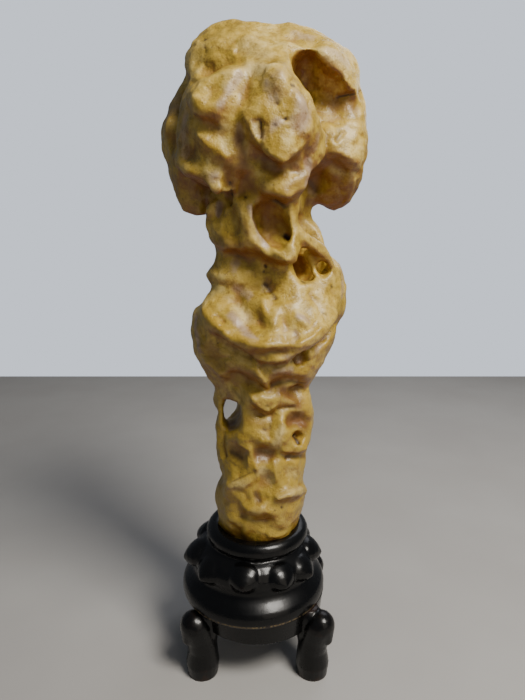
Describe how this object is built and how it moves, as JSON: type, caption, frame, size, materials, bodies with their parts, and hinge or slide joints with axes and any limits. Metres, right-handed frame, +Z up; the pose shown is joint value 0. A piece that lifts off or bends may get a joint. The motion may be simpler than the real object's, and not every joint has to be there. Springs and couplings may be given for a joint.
{
  "type": "scholars rock on a stand",
  "caption": "Tall natural scholar's rock with a pierced, folded head and a slender pitted column, seated in the socket of a low carved wood stand on bracket feet.",
  "frame": {"origin": "on the floor, under the middle of the whole piece's bounding box", "axes": "+Z up along the rock; -Y towards the viewer, the side with the folded brow and the pierced neck; +X to the viewer's right, the side of the large hollow"},
  "size_m": [0.1884, 0.1612, 0.6013],
  "materials": {
    "stone": "waxed, polished by handling, with matt dirt in the pits",
    "lacquer": "gloss black lacquer, worn brown on the edges"
  },
  "bodies": {
    "root": {"rock": "stone", "stand_body": "lacquer", "apron": "lacquer", "leg_front_left": "lacquer", "leg_front_right": "lacquer", "leg_rear_left": "lacquer", "leg_rear_right": "lacquer"}
  },
  "joints": []
}
